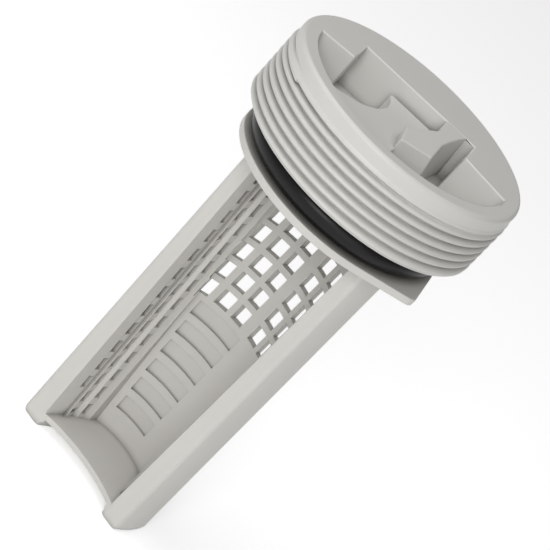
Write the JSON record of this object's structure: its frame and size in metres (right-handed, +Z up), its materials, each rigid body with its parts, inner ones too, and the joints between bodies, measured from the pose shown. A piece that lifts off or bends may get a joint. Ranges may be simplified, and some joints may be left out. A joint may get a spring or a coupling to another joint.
{
  "type": "washer pump filter",
  "caption": "Light grey screw-in washing machine pump filter: threaded cap with sunk finger grip, black sealing ring, windowed trough basket.",
  "frame": {"origin": "on the filter's axis, level with the soles of the basket's feet", "axes": "+Z up the axis from the feet to the cap face; the basket's open side looks along -Y; +X to the right seen from that side"},
  "size_m": [0.058, 0.058, 0.1122],
  "materials": {
    "basket_plastic": "satin",
    "cap_plastic": "satin",
    "seal_rubber": "matte"
  },
  "bodies": {
    "basket": {"filter_basket": "basket_plastic"},
    "cap": {"screw_cap": "cap_plastic", "sealing_ring": "seal_rubber"}
  },
  "joints": [
    {"name": "cap_turn", "type": "hinge", "parent": "basket", "child": "cap", "pos_m": [0, 0, 0.0915], "axis": [0, 0, 1], "continuous": true}
  ]
}
